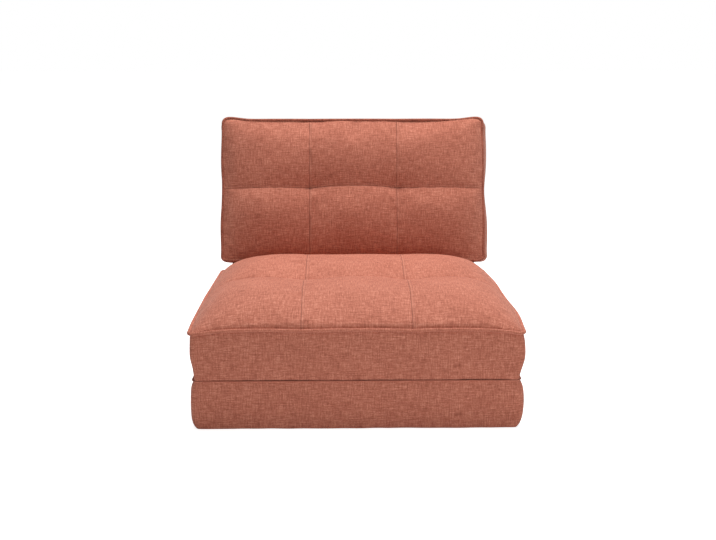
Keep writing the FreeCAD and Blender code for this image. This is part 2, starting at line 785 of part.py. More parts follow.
def zip_slider(prefix):
    """A channel over the chain with two lugs and a pin for the pull."""
    shell = box(f"{prefix}_slider_shell", ZIP_START, "0 - slider_width / 2", SLIDER_BASE,
                "slider_length", "slider_width", f"{SLIDER_TOP} - {SLIDER_BASE}")
    channel = box(f"{prefix}_slider_channel", f"{ZIP_START} - 1",
                  "0 - zip_chain_width / 2 - slider_gap", "0",
                  "slider_length + 2", "zip_chain_width + 2 * slider_gap",
                  "zip_tape_thick + zip_chain_thick + slider_gap")
    hood = cut(f"{prefix}_slider_hood", shell, channel)
    lug_inner = "(pull_neck_width / 2 + lug_gap)"
    pieces = [hood]
    for index, start in enumerate((lug_inner, f"0 - {lug_inner} - lug_thick")):
        pieces.append(box(f"{prefix}_lug_{index}", f"{SLIDER_MIDDLE} - pull_eye_radius", start,
                          f"{SLIDER_TOP} - lug_sink", "2 * pull_eye_radius", "lug_thick",
                          "slider_pin_rise + lug_sink + 2 * slider_pin_radius"))
    pieces.append(rod(f"{prefix}_slider_pin", ALONG_Y, SLIDER_MIDDLE, f"0 - {lug_inner} - lug_thick",
                      SLIDER_PIN, "slider_pin_radius", f"2 * ({lug_inner} + lug_thick)"))
    return fuse(f"{prefix}_zip_slider", pieces)


def zip_pull(prefix):
    """A flat tab with an eye round the slider's pin, lying along the zip."""
    eye = rod(f"{prefix}_pull_eye", ALONG_Y, SLIDER_MIDDLE, "0 - pull_neck_width / 2", SLIDER_PIN,
              "pull_eye_radius", "pull_neck_width")
    neck = box(f"{prefix}_pull_neck", f"{SLIDER_MIDDLE} - pull_neck_length - 1", "0 - pull_neck_width / 2",
               f"{SLIDER_PIN} - pull_thick / 2", "pull_neck_length + 1", "pull_neck_width", "pull_thick")
    tab = box(f"{prefix}_pull_tab", f"{SLIDER_MIDDLE} - pull_length", "0 - pull_width / 2",
              f"{SLIDER_PIN} - pull_thick / 2", "pull_length - pull_neck_length", "pull_width",
              "pull_thick")
    bore = rod(f"{prefix}_pull_bore", ALONG_Y, SLIDER_MIDDLE, "0 - pull_width", SLIDER_PIN,
               "slider_pin_radius + slider_pin_gap", "2 * pull_width")
    return cut(f"{prefix}_zip_pull", fuse(f"{prefix}_pull_whole", [eye, neck, tab]), bore)


ZIP_START = f"({ZIP_LENGTH} / 2 - 2 * slider_length)"
SLIDER_MIDDLE = f"({ZIP_START} + slider_length / 2)"


def zip_set(unit, prefix, place):
    """Tape, slider and pull, each at the zip's place in the unit's frame."""
    made = (zip_tape(prefix), zip_slider(prefix), zip_pull(prefix))
    for thing, kind in zip(made, ("tape", "slider", "pull")):
        keep(unit, thing, f"{prefix}_zip_{kind}")
        zip_places[thing.Name] = place
    return made


zip_places = {}


# Building

seat_frame()
back_frame()
back_webbing()
for side, sign in SIDES.items():
    hinge_bracket(side, sign)
    back_arm(side, sign)
    detent_spring(side, sign)
    pivot_rivet(side, sign)
    pivot_washer(side, sign)
spring_rivets()
SEAT_NUT_FACE = f"({SEAT_FRAME_HALF} - seat_tube_radius)"
BACK_NUT_FACE = f"({BACK_FRAME_HALF} - back_tube_radius)"
bolts_and_nuts("seat", "bracket", SEAT_NUT_FACE, BRACKET_FAR)
bolts_and_nuts("back", "arm", BACK_NUT_FACE, ARM_FAR)


def loop_shape(half, near, far, level, corner, radius):
    """The same closed loop swept in one piece."""
    corners = [(half, far), (-half, far), (-half, near), (half, near)]
    edges = []
    slant = corner * (1 - math.sqrt(0.5))
    for index, (x, y) in enumerate(corners):
        nx, ny = corners[(index + 1) % 4]
        sx, sy = math.copysign(1, x), (1 if y == far else -1)
        before = Vector(x, y - sy * corner, level)
        after = Vector(x - sx * corner, y, level)
        if index % 2:
            before, after = after, before
        edges.append(Part.Arc(before, Vector(x - sx * slant, y - sy * slant, level), after).toShape())
        nsx, nsy = math.copysign(1, nx), (1 if ny == far else -1)
        entry = Vector(nx, ny - nsy * corner, level)
        if index % 2 == 0:
            entry = Vector(nx - nsx * corner, ny, level)
        edges.append(Part.LineSegment(after, entry).toShape())
    path = Part.Wire(Part.__sortEdges__(edges))
    start = path.OrderedVertexes[0].Point
    tangent = path.OrderedEdges[0].tangentAt(path.OrderedEdges[0].FirstParameter)
    ring = Part.Wire(Part.Circle(start, tangent, radius).toShape())
    return path.makePipeShell([ring], True, False)


def piping(unit, form):
    """A hollow cloth-covered welt round the top seam, its core, and its groove in the cover."""
    place = (form["half"], 0, form["length"], form["height"], form["corner"])
    name = f"{unit}_piping"
    core = value("piping_core_radius")
    outer = loop_shape(*place, value("piping_radius"))
    hollow = loop_shape(*place, core + value("pin_gap"))
    solid_feature(unit, name, outer.cut(hollow))
    solid_feature(unit, f"{name}_cord", loop_shape(*place, core))
    return loop_shape(*place, value("piping_radius + piping_gap"))


seat_groove = piping("seat", SEAT)
back_groove = piping("back", BACK)
ON_REAR = Rotation(Vector(1, 0, 0), -90)
ON_BASE = Rotation(Vector(1, 0, 0), 90)
rear_y = value("seat_length")
zip_set("seat", "seat", Placement(Vector(0, rear_y, value("seat_zip_rise")), ON_REAR))
zip_set("foot", "lower", Placement(Vector(0, rear_y, value("foot_zip_rise")), ON_REAR))
zip_set("back", "back", Placement(Vector(0, 0, value("back_zip_rise")), ON_BASE))
document.recompute()


def fold_groove(z):
    """The room that the front fold seam needs in each layer's front edge."""
    half = value("seat_width / 2")
    radius = value("fold_seam_radius + piping_gap")
    return reach_rod(Vector(-2 * half, -value("fold_offset"), z), Vector(1, 0, 0), radius, 4 * half)


def plate_opening(near, y, z, depth, through):
    """A slot on each side of a border for a hinge plate, wider than the plate by its gap."""
    gap = value("slot_gap")
    wide = value("plate_thick") + 2 * gap
    slots = []
    for sign in SIDES.values():
        x = near - gap if sign > 0 else -near - value("plate_thick") - gap
        slots.append(Part.makeBox(wide, through, depth + 2 * gap, Vector(x, y, z - gap)))
    return slots


def rabbet(form):
    """A square step round the foam's top edge that leaves room for the piping."""
    depth = value("piping_radius + piping_to_foam")
    half = form["half"] - depth
    near, far = depth, form["length"] - depth
    corner = form["corner"] - depth
    slant = corner * (1 - math.sqrt(0.5))
    low = form["height"] - depth
    points = []
    for sx, sy in ((1, 1), (-1, 1), (-1, -1), (1, -1)):
        x = sx * half
        y = far if sy > 0 else near
        beside = Vector(x, y - sy * corner, low)
        along = Vector(x - sx * corner, y, low)
        middle = Vector(x - sx * slant, y - sy * slant, low)
        points += [beside, middle, along, None] if sx * sy > 0 else [along, middle, beside, None]
    outline = Part.Face(Part.Wire(side_edges(points + points[:1])))
    core = outline.extrude(Vector(0, 0, 2 * depth))
    return slab(form, low, low + 2 * depth).cut(core)


def frame_room(unit):
    """Room in the foam for the frame, its bolts and the hinge plate on each side."""
    gap = value("foam_gap")
    rooms = []
    if unit == "seat":
        half, near, level = value(SEAT_FRAME_HALF), value("seat_frame_inset"), value("seat_frame_rise")
        radius, corner = value("seat_tube_radius"), value("frame_corner")
        far = value("seat_length") - near
        plate, length = value(BRACKET_NEAR), value("bracket_reach")
        start, depth = value(BRACKET_FRONT), value("bracket_depth")
        for sign in (-1, 1):
            y = value("seat_length / 2") + sign * value("crossbar_pitch") / 2
            rooms.append(reach_rod(Vector(-half, y, level), Vector(1, 0, 0),
                                   value("crossbar_radius") + gap, 2 * half))
    else:
        half, near, level = value(BACK_FRAME_HALF), value("back_frame_inset"), value(BACK_FRAME_LEVEL)
        radius, corner = value("back_tube_radius"), value("back_frame_corner")
        far = value("back_length") - near
        plate, length = value(ARM_NEAR), value("arm_reach")
        start, depth = 0, value("arm_depth")
    rooms.append(loop_shape(half, near, far, level, corner, radius + gap))
    rooms += plate_opening(plate, start - gap, level - depth / 2, depth, length + 2 * gap)
    nut_end = half - radius - value("nut_thick") - 1 - gap
    head_end = plate + value("plate_thick + bolt_head_thick") + gap
    for y, z in bolt_places(unit):
        for sign in SIDES.values():
            x = nut_end if sign > 0 else -head_end
            rooms.append(reach_rod(Vector(x, value(y), value(z)), Vector(1, 0, 0),
                                   value("bolt_head_radius") + gap, head_end - nut_end))
    return rooms


def strap_room():
    """Room in the back foam for the straps and their loops."""
    gap = value("foam_gap")
    inner = value("back_tube_radius + piping_gap")
    outer = inner + value("strap_thick") + gap
    near = value("back_frame_inset")
    far = value("back_length") - near
    level = value(BACK_FRAME_LEVEL)
    wide = value("strap_width") + 2 * gap
    rooms = []
    for index in range(4):
        x = value(strap_centre(index)) - wide / 2
        rooms.append(Part.makeBox(wide, far - near, value("strap_thick") + 2 * gap,
                                  Vector(x, near, level + inner - gap)))
        for y in (near, far):
            rooms.append(reach_rod(Vector(x, y, level), Vector(1, 0, 0), outer, wide))
    return rooms


def tufting(unit, form, inside):
    """Two cords from the pulled-in points to toggles at the base, and the foam's room for them."""
    cord_radius, toggle_radius = value("tuft_cord_radius"), value("toggle_radius")
    toggle_thick, gap = value("toggle_thick"), value("foam_gap")
    up = Vector(0, 0, 1)
    cords, toggles, rooms = [], [], []
    for sign in SIDES.values():
        base = Vector(sign * form["half"] / 3, form["length"] / 2, form["cover"])
        cord = reach_rod(base, up, cord_radius, form["height"] + form["crest"])
        cords.append(biggest(cord.common(inside)))
        toggle = reach_rod(base, up, toggle_radius, toggle_thick)
        toggles.append(toggle.cut(reach_rod(base, up, cord_radius + gap, 2 * toggle_thick)))
        rooms.append(reach_rod(base, up, cord_radius + gap, form["height"] + form["crest"]))
        rooms.append(reach_rod(base, up, toggle_radius + gap, toggle_thick + gap))
    solid_feature(unit, f"{unit}_tuft_cords", Part.makeCompound(cords))
    solid_feature(unit, f"{unit}_tuft_toggles", Part.makeCompound(toggles))
    return rooms


def foam(unit, name, form, rooms):
    block = form_solid(form, form["cover"] + value("foam_gap"))
    for room in rooms:
        block = block.cut(room)
    solid_feature(unit, name, biggest(block))


seat_slots = plate_opening(value(BRACKET_NEAR), value("seat_length - 2 * cover_thick"),
                           value("seat_frame_rise - bracket_depth / 2"), value("bracket_depth"),
                           value("4 * cover_thick"))
back_slots = plate_opening(value(ARM_NEAR), value("0 - 2 * cover_thick"),
                           value(f"{BACK_FRAME_LEVEL} - arm_depth / 2"), value("arm_depth"),
                           value("4 * cover_thick"))
SEAT_COVERS = ("seat_top_panel", "seat_border", "seat_base_panel")
FOOT_COVERS = ("lower_top_panel", "lower_border", "lower_base_panel")
BACK_COVERS = ("back_front_panel", "back_border", "back_rear_panel")
seat_fold = fold_groove(value("0 - layer_gap / 2"))
foot_fold = fold_groove(value("foot_height + layer_gap / 2"))
seat_inside = covers("seat", SEAT, SEAT_COVERS, [seat_groove, seat_fold], seat_slots)
covers("foot", FOOT, FOOT_COVERS, [foot_fold], [])
back_inside = covers("back", BACK, BACK_COVERS, [back_groove], back_slots)
seat_rooms = [rabbet(SEAT)] + frame_room("seat") + tufting("seat", SEAT, seat_inside)
back_rooms = [rabbet(BACK)] + frame_room("back") + strap_room() + tufting("back", BACK, back_inside)
foam("seat", "seat_foam", SEAT, seat_rooms)
foam("foot", "lower_foam", FOOT, [])
foam("back", "back_foam", BACK, back_rooms)
fold_half = value("seat_width / 2 - seat_corner - seat_waist")
fold_seam = reach_rod(Vector(-fold_half, -value("fold_offset"), -value("layer_gap") / 2),
                      Vector(1, 0, 0), value("fold_seam_radius"), 2 * fold_half)
solid_feature("seat", "front_fold_seam", fold_seam)

# Each unit's place: the layers stacked on the floor, the back turned about the hinge pins
half_length = value("seat_length / 2")
seat_place = Placement(Vector(0, -half_length, value("foot_height + layer_gap")), Rotation())
foot_place = Placement(Vector(0, -half_length, 0), Rotation())
pin = seat_place.multVec(Vector(0, value(SEAT_PIVOT_Y), value(SEAT_PIVOT_Z)))
back_turn = Rotation(Vector(1, 0, 0), 90 - value("recline"))
back_pin = back_turn.multVec(Vector(0, value(BACK_PIVOT_Y), value(BACK_PIVOT_Z)))
UNIT_PLACES = {"seat": seat_place, "foot": foot_place, "back": Placement(pin - back_pin, back_turn)}
for unit, things in parts.items():
    for thing in things:
        thing.Placement = UNIT_PLACES[unit].multiply(zip_places.get(thing.Name, Placement()))
document.recompute()
print("hinge pin", pin)
for unit in ("seat", "lower", "back"):
    slider = document.getObjectsByLabel(f"{unit}_zip_slider")[0]
    print(unit, "zip pin", slider.Placement.multVec(Vector(value(SLIDER_MIDDLE), 0, value(SLIDER_PIN))))

for thing in document.Objects:
    if "Invalid" in thing.State or "Error" in thing.State:
        raise RuntimeError(f"{thing.Label} failed: {thing.State}")
os.makedirs("parts", exist_ok=True)
for things in parts.values():
    for thing in things:
        if thing.Shape.isNull() or not thing.Shape.isValid():
            raise RuntimeError(f"{thing.Label} has no valid shape")
for things in parts.values():
    for thing in things:
        thing.Shape.exportStep(f"parts/{thing.Label}.step")
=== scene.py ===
import json
import math

import bpy
import numpy as np
from mathutils import Matrix, Vector


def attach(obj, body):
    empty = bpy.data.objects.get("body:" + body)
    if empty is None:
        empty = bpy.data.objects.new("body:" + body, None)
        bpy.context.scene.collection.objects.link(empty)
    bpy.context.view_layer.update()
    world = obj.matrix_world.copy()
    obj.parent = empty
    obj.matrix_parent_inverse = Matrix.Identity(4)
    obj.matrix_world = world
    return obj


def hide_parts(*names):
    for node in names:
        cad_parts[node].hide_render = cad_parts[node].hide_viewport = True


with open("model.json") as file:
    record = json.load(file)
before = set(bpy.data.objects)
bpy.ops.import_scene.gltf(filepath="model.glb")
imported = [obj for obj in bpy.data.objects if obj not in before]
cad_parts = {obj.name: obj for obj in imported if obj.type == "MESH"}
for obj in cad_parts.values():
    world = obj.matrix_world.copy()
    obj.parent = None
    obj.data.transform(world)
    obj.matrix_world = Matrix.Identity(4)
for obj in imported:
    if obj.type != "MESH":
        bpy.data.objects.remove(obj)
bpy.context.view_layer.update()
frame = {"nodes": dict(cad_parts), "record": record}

# Sizes in metres, in each cushion's own frame: x across, y from its first border, z from its lower face.
# Crests and tufts are heights over the top seam. Waists, rounds and rear_in draw the border in; bulges,
# swells and ears stand it out. A zip_side of 1 is the border at full length, and -1 the one at y = 0.
SEAM_RISE = 0.002
SEAT = {
    "half": 0.375, "length": 0.666, "height": 0.1137, "corner": 0.012, "droop": 0.005, "ear": 0.0,
    "crest": 0.067, "seam_crest": 0.0665, "cross_crest": 0.052, "tuft": 0.046,
    "waist_left": 0.021, "waist_right": 0.013, "waist_height": 0.060, "base_round": 0.005,
    "bulge_left": 0.000, "bulge_right": 0.006, "rear_in_left": 0.007, "rear_in_right": 0.012,
    "top_sag": 0.0, "low_lean": 1.0, "arch": 0.004, "zip_side": 1,
    "dimple": 0.0158, "dimple_wide": 0.050, "dimple_long": 0.045,
    "front_swell": 0.0008, "swell_left": 0.002, "swell_right": 0.007, "pinch": 0.5,
}
LOWER = {
    "half": 0.375, "length": 0.666, "height": 0.1137, "corner": 0.016,
    "droop": 0.0, "ear": 0.0, "arch": 0.0, "zip_side": 1,
    "top_round": 0.023, "rear_in_left": 0.0, "base_round": 0.018, "front_swell": 0.0008,
    "swell_left": 0.003, "swell_right": 0.007,
    "bulge_left": 0.0, "bulge_right": 0.0, "rear_in_right": 0.004, "top_sag": 0.0,
}
BACK = {
    "half": 0.368, "length": 0.407, "height": 0.120, "corner": 0.016, "droop": 0.0, "ear": 0.003,
    "crest": 0.042, "seam_crest": 0.041, "cross_crest": 0.031, "tuft": 0.023,
    "rear_in_left": 0.0, "low_lean": 2.1, "arch": 0.006, "zip_side": -1,
    "waist_left": 0.004, "waist_right": 0.004, "waist_height": 0.030, "base_round": 0.014,
    "bulge_left": 0.003, "bulge_right": 0.002, "rear_in_right": 0.0, "top_sag": 0.010,
    "dimple": 0.0112, "dimple_wide": 0.048, "dimple_long": 0.040,
    "front_swell": 0.001, "swell_left": 0.012, "swell_right": 0.018, "pinch": 0.3,
}
LAYER_GAP = 0.0006
HINGE_PIN = (0.0, 0.350, 0.238)
BACK_PIN = (0.0, -0.0163, 0.108)
BACK_TURN = math.radians(74)
PIPING_RADIUS = 0.0040
ZIP_SINK = 0.0016

SEAT_PLACE = Matrix.Translation((0, -0.333, LOWER["height"] + LAYER_GAP))
LOWER_PLACE = Matrix.Translation((0, -0.333, 0))
BACK_PLACE = (Matrix.Translation(HINGE_PIN) @ Matrix.Rotation(BACK_TURN, 4, "X")
              @ Matrix.Translation([-c for c in BACK_PIN]))


# Finishes

class Signal:
    """A number, vector or shader that varies over a surface; arithmetic on it adds Math nodes."""

    def __init__(self, graph, socket):
        self.graph = graph
        self.socket = socket

    def math(self, operation, *others):
        return self.graph.calculate(operation, self, *others)

    def __add__(self, other):
        return self.math("ADD", other)

    def __sub__(self, other):
        return self.math("SUBTRACT", other)

    def __mul__(self, other):
        return self.math("MULTIPLY", other)

    def __truediv__(self, other):
        return self.math("DIVIDE", other)

    def __rsub__(self, other):
        return self.graph.calculate("SUBTRACT", other, self)

    def __lt__(self, other):
        return self.math("LESS_THAN", other)

    def __gt__(self, other):
        return self.math("GREATER_THAN", other)

    __radd__ = __add__
    __rmul__ = __mul__


class Graph:
    """An emptied node tree, and the one call that adds a node to it."""

    def __init__(self, tree):
        self.tree = tree
        tree.nodes.clear()

    def node(self, kind, settings=None, sockets=None, out=0):
        made = self.tree.nodes.new(kind)
        for name, setting in (settings or {}).items():
            if name == "stops":
                self.set_stops(made.color_ramp, setting)
            else:
                setattr(made, name, setting)
        for name, given in (sockets or {}).items():
            self.plug(made.inputs[name], given)
        return Signal(self, made.outputs[out]) if made.outputs else None

    def set_stops(self, ramp, stops):
        while len(ramp.elements) < len(stops):
            ramp.elements.new(0.5)
        for element, (place, colour) in zip(ramp.elements, stops):
            element.position = place
            element.color = (*colour, 1)

    def plug(self, socket, given):
        if isinstance(given, Signal):
            self.tree.links.new(given.socket, socket)
        else:
            socket.default_value = given

    def calculate(self, operation, *numbers):
        return self.node("ShaderNodeMath", {"operation": operation}, dict(enumerate(numbers)))


class Finish(Graph):
    """A material under construction: one shader and the nodes that feed it."""

    def __init__(self, name, **constants):
        self.material = bpy.data.materials.new(name)
        self.material.use_nodes = True
        super().__init__(self.material.node_tree)
        self.shader = self.tree.nodes.new("ShaderNodeBsdfPrincipled")
        self.node("ShaderNodeOutputMaterial", None, {"Surface": Signal(self, self.shader.outputs[0])})
        for socket, number in constants.items():
            self.shader.inputs[socket.replace("_", " ")].default_value = number

    def mix(self, factor, first, second):
        """Two colours mixed by a factor."""
        colours = [given if isinstance(given, Signal) else (*given, 1) for given in (first, second)]
        sockets = {0: factor, 6: colours[0], 7: colours[1]}
        return self.node("ShaderNodeMix", {"data_type": "RGBA"}, sockets, out=2)

    def cloth_place(self):
        """Place on the flat cloth in metres, from the piece's own map."""
        apart = {"Vector": self.node("ShaderNodeUVMap", {"uv_map": "flat"})}
        along_warp = self.node("ShaderNodeSeparateXYZ", None, apart)
        return along_warp, self.node("ShaderNodeSeparateXYZ", None, apart, out=1)

    def body_place(self):
        return self.node("ShaderNodeTexCoord", out=3)

    def stretched(self, place, scale):
        return self.node("ShaderNodeVectorMath", {"operation": "MULTIPLY"}, {0: place, 1: scale})

    def noise(self, place, scale, detail=2.0, roughness=0.5):
        sockets = {"Vector": place, "Scale": scale, "Detail": detail, "Roughness": roughness}
        return self.node("ShaderNodeTexNoise", None, sockets)

    def combined(self, x, y):
        return self.node("ShaderNodeCombineXYZ", None, {0: x, 1: y})

    def finish(self, colour=None, roughness=None, height=None, relief=0.5, depth=0.001):
        if colour is not None:
            self.plug(self.shader.inputs["Base Color"], colour)
        if roughness is not None:
            self.plug(self.shader.inputs["Roughness"], roughness)
        if height is not None:
            sockets = {"Strength": relief, "Distance": depth, "Height": height}
            self.plug(self.shader.inputs["Normal"], self.node("ShaderNodeBump", None, sockets))
        return self.material


# Linen: thread pitches in metres, and noise cells to the metre across and along the cloth
LINEN_DARK = (0.190, 0.045, 0.027)
LINEN_MID = (0.450, 0.145, 0.092)
LINEN_LIGHT = (0.720, 0.305, 0.212)
WARP_PITCH = 0.0013
WEFT_PITCH = 0.0015
WARP_STREAKS = (400, 45)
WEFT_STREAKS = (40, 380)
WEFT_SHIFT = 7
SLUB_CELLS = (240, 300)
CLOUD_CELLS = 9.0
SHADE_SHARE = 1.10
SLUB_SHARE = 0.50
THREAD_SHARE = 0.12
CLOUD_SHARE = 0.18
TONE_SHIFT = 0.465

# Seams of the tufted panels: painted shade in the groove, a painted highlight on the raised fell beside it,
# and a darker stitch line
SEAM_WIDTH = 0.0016
GROOVE_PAINTED_SHADE = 0.75
SEAM_DEPTH = 3.0
STITCH_OFFSET = 0.006
STITCH_LENGTH = 0.0045
STITCH_WIDTH = 0.0006
STITCH_SHARE = 0.68
STITCH_SHADE = 0.30
FELL_PAINTED_HIGHLIGHT = 0.14


def seam_distance(u, v, seams):
    """Signed distance from the nearest upright seam and from the cross seam of a tufted panel."""
    right = u > 0.0
    across = u - (right * 2 - 1) * seams[0]
    return across, v - seams[1]


def linen(name, seams=None, painted_shade=0.0):
    """Melange linen weave: over and under threads, each with its own shade, and uneven slubs."""
    finish = Finish(name, Sheen_Weight=0.18, Sheen_Roughness=0.5, Sheen_Tint=(1.0, 0.72, 0.62, 1),
                    Specular_IOR_Level=0.18)
    u, v = finish.cloth_place()

    def streaks(cells, shift=0, roughness=0.5):
        return finish.noise(finish.combined(u * cells[0] + shift, v * cells[1]), 1.0, 3.0, roughness)

    warp = (u * (math.pi / WARP_PITCH)).math("SINE")
    weft = (v * (math.pi / WEFT_PITCH)).math("SINE")
    over = warp * weft * 0.5 + 0.5
    threads = over * warp.math("ABSOLUTE") + (1 - over) * weft.math("ABSOLUTE")
    warp_shade = streaks(WARP_STREAKS)
    weft_shade = streaks(WEFT_STREAKS, WEFT_SHIFT)
    slubs = streaks(SLUB_CELLS, roughness=0.65)
    clouds = finish.noise(finish.combined(u, v), CLOUD_CELLS, 3.0, 0.6)
    shade = warp_shade * 0.5 + weft_shade * 0.5 + (over - 0.5) * (warp_shade - weft_shade)
    # The tone is lowered all over by the last argument: painted shade, for a copy of the cloth drawn as if in
    # shadow
    tone = (shade * SHADE_SHARE + slubs * SLUB_SHARE + threads * THREAD_SHARE + clouds * CLOUD_SHARE
            - (TONE_SHIFT + painted_shade))
    colour = finish.node("ShaderNodeValToRGB", {"stops": [
        (0.18, LINEN_DARK), (0.50, LINEN_MID), (0.82, LINEN_LIGHT)]}, {0: tone})
    height = threads * 0.6 + slubs * 0.5
    if seams:
        for across, run in zip(seam_distance(u, v, seams), (v, u)):
            groove = (1 - across.math("ABSOLUTE") / SEAM_WIDTH).math("MAXIMUM", 0.0)
            felled = (across > 0.0) * (across < STITCH_OFFSET)
            line = (across - STITCH_OFFSET).math("ABSOLUTE") < STITCH_WIDTH
            dash = (run / STITCH_LENGTH).math("FRACT") < STITCH_SHARE
            # Painted shade darkens the seam groove and a painted highlight lightens the raised fell; the
            # stitch line is drawn darker
            colour = finish.mix(groove * GROOVE_PAINTED_SHADE, colour, LINEN_DARK)
            colour = finish.mix(felled * FELL_PAINTED_HIGHLIGHT, colour, LINEN_LIGHT)
            colour = finish.mix(line * STITCH_SHADE, colour, LINEN_DARK)
            height = height - groove * SEAM_DEPTH + felled * 0.9 - line * 0.8 + line * dash * 1.2
    roughness = 0.92 - slubs * 0.1
    return finish.finish(colour, roughness, height, relief=0.6, depth=0.0006)


def powder_coat():
    """Black powder-coated steel: fine orange-peel and a few rubbed spots."""
    finish = Finish("black_powder_coat", Specular_IOR_Level=0.5)
    place = finish.body_place()
    peel = finish.noise(place, 900.0, 2.0)
    rubbed = finish.noise(place, 35.0, 5.0, 0.7)
    colour = finish.node("ShaderNodeValToRGB", {"stops": [
        (0.35, (0.012, 0.012, 0.013)), (0.62, (0.022, 0.022, 0.024)), (0.80, (0.06, 0.06, 0.062))]},
        {0: rubbed})
    return finish.finish(colour, 0.42 + rubbed * 0.2, peel, relief=0.25, depth=0.0003)


def plated(name, dark, light, roughness, streak):
    """Plated or bare steel with rolled streaks along one direction and faint blooms."""
    finish = Finish(name, Metallic=1.0)
    place = finish.body_place()
    lines = finish.noise(finish.stretched(place, streak), 1.0, 4.0, 0.6)
    bloom = finish.noise(place, 60.0, 4.0, 0.6)
    tone = lines * 0.6 + bloom * 0.5
    colour = finish.node("ShaderNodeValToRGB", {"stops": [(0.3, dark), (0.75, light)]}, {0: tone})
    return finish.finish(colour, roughness + bloom * 0.15, lines, relief=0.15, depth=0.0002)


def woven_band(name, dark, light, pitch):
    """Narrow woven tape with chevron ribs."""
    finish = Finish(name, Specular_IOR_Level=0.25, Sheen_Weight=0.15)
    place = finish.body_place()
    apart = {"Vector": place}
    x = finish.node("ShaderNodeSeparateXYZ", None, apart)
    z = finish.node("ShaderNodeSeparateXYZ", None, apart, out=2)
    rib = ((x + z.math("PINGPONG", 0.004)) * (2 * math.pi / pitch)).math("SINE") * 0.5 + 0.5
    fibre = finish.noise(place, 1500.0, 2.0)
    colour = finish.mix(rib * 0.6 + fibre * 0.4, dark, light)
    return finish.finish(colour, 0.85, rib + fibre * 0.5, relief=0.5, depth=0.0004)


def moulded(name, dark, light, scale):
    """Moulded plastic with a faint flow pattern and fine grain."""
    finish = Finish(name, Specular_IOR_Level=0.45)
    place = finish.body_place()
    flow = finish.noise(place, scale, 4.0, 0.6)
    grain = finish.noise(place, 1200.0, 2.0)
    return finish.finish(finish.mix(flow, dark, light), 0.45 + grain * 0.15, grain, relief=0.2, depth=0.0002)


def cellular_foam():
    """Open-celled upholstery foam."""
    finish = Finish("upholstery_foam", Specular_IOR_Level=0.2)
    place = finish.body_place()
    cells = finish.node("ShaderNodeTexVoronoi", {"feature": "F1"}, {"Vector": place, "Scale": 700.0})
    return finish.finish(finish.mix(cells, (0.60, 0.52, 0.30), (0.85, 0.80, 0.60)), 0.95, cells, relief=0.5)


SEAT_SEAMS = (SEAT["half"] / 3, SEAT["length"] / 2)
BACK_SEAMS = (BACK["half"] / 3, BACK["length"] / 2)
seat_top_linen = linen("seat_top_linen", SEAT_SEAMS)
back_front_linen = linen("back_front_linen", BACK_SEAMS)
plain_linen = linen("plain_linen")
# The back's welt: the plain linen darkened all over, a painted shade for the shadowed side of the piping
painted_shade_welt_linen = linen("painted_shade_welt_linen", painted_shade=0.16)
black_coat = powder_coat()
zinc = plated("zinc_plate", (0.45, 0.46, 0.48), (0.72, 0.73, 0.74), 0.28, (40, 900, 900))
blued_steel = plated("blued_spring_steel", (0.16, 0.17, 0.20), (0.34, 0.35, 0.38), 0.25, (900, 900, 40))
nickel = plated("nickel_zip_metal", (0.50, 0.47, 0.43), (0.75, 0.72, 0.68), 0.22, (600, 600, 60))
zip_cloth = woven_band("zip_tape_weave", (0.20, 0.055, 0.036), (0.34, 0.11, 0.075), 0.0012)
strap_cloth = woven_band("strap_weave", (0.02, 0.02, 0.022), (0.07, 0.07, 0.075), 0.0024)
cord_cloth = woven_band("tuft_cord_braid", (0.55, 0.52, 0.47), (0.80, 0.78, 0.73), 0.0014)
toggle_plastic = moulded("toggle_plastic", (0.62, 0.60, 0.55), (0.76, 0.74, 0.70), 90.0)
foam = cellular_foam()

SLOT_FINISHES = {
    "cover_cloth": plain_linen, "foam": foam, "black_steel": black_coat, "zinc_steel": zinc,
    "spring_steel": blued_steel, "zip_nylon": zip_cloth, "zip_metal": nickel,
    "toggle_plastic": toggle_plastic, "webbing": strap_cloth, "white_cord": cord_cloth,
}


# Meshes

def mesh_piece(name, points, faces, flat, materials, face_material=None):
    """A piece from point, quad and cloth-map arrays; flat holds one (u, v) for each face corner."""
    mesh = bpy.data.meshes.new(name)
    mesh.vertices.add(len(points))
    mesh.vertices.foreach_set("co", np.ascontiguousarray(points, np.float32).ravel())
    mesh.loops.add(faces.size)
    mesh.loops.foreach_set("vertex_index", np.ascontiguousarray(faces, np.int32).ravel())
    mesh.polygons.add(len(faces))
    mesh.polygons.foreach_set("loop_start", np.arange(0, faces.size, faces.shape[1], dtype=np.int32))
    mesh.polygons.foreach_set("use_smooth", np.ones(len(faces), bool))
    for material in materials:
        mesh.materials.append(material)
    if face_material is not None:
        mesh.polygons.foreach_set("material_index", np.ascontiguousarray(face_material, np.int32))
    layer = mesh.uv_layers.new(name="flat")
    layer.data.foreach_set("uv", np.ascontiguousarray(flat, np.float32).ravel())
    mesh.update(calc_edges=True)
    mesh.validate()
    piece = bpy.data.objects.new(name, mesh)
    bpy.context.scene.collection.objects.link(piece)
    return piece


def grid_faces(rows, columns, offset=0, flip=False):
    """Quads of a rows by columns grid of points stored row after row."""
    index = offset + np.arange(rows * columns).reshape(rows, columns)
    quads = np.stack([index[:-1, :-1], index[:-1, 1:], index[1:, 1:], index[1:, :-1]], -1).reshape(-1, 4)
    return quads[:, ::-1] if flip else quads


def spread(breaks, step):
    """Positions through all the breaks, evenly filled so that no gap is longer than the step."""
    runs = [np.linspace(a, b, max(1, math.ceil((b - a) / step - 1e-6)) + 1)[:-1]
            for a, b in zip(breaks, breaks[1:])]
    return np.concatenate(runs + [[breaks[-1]]])


def beside(places, offsets):
    """Each place with its close neighbours on both sides."""
    return [p + s * o for p in places for o in offsets for s in (-1, 1)] + list(places)


SEAM_OFFSETS = (0.0015, 0.004, 0.009)
EDGE_OFFSETS = (0.0015, 0.004, 0.008, 0.0125, 0.018)


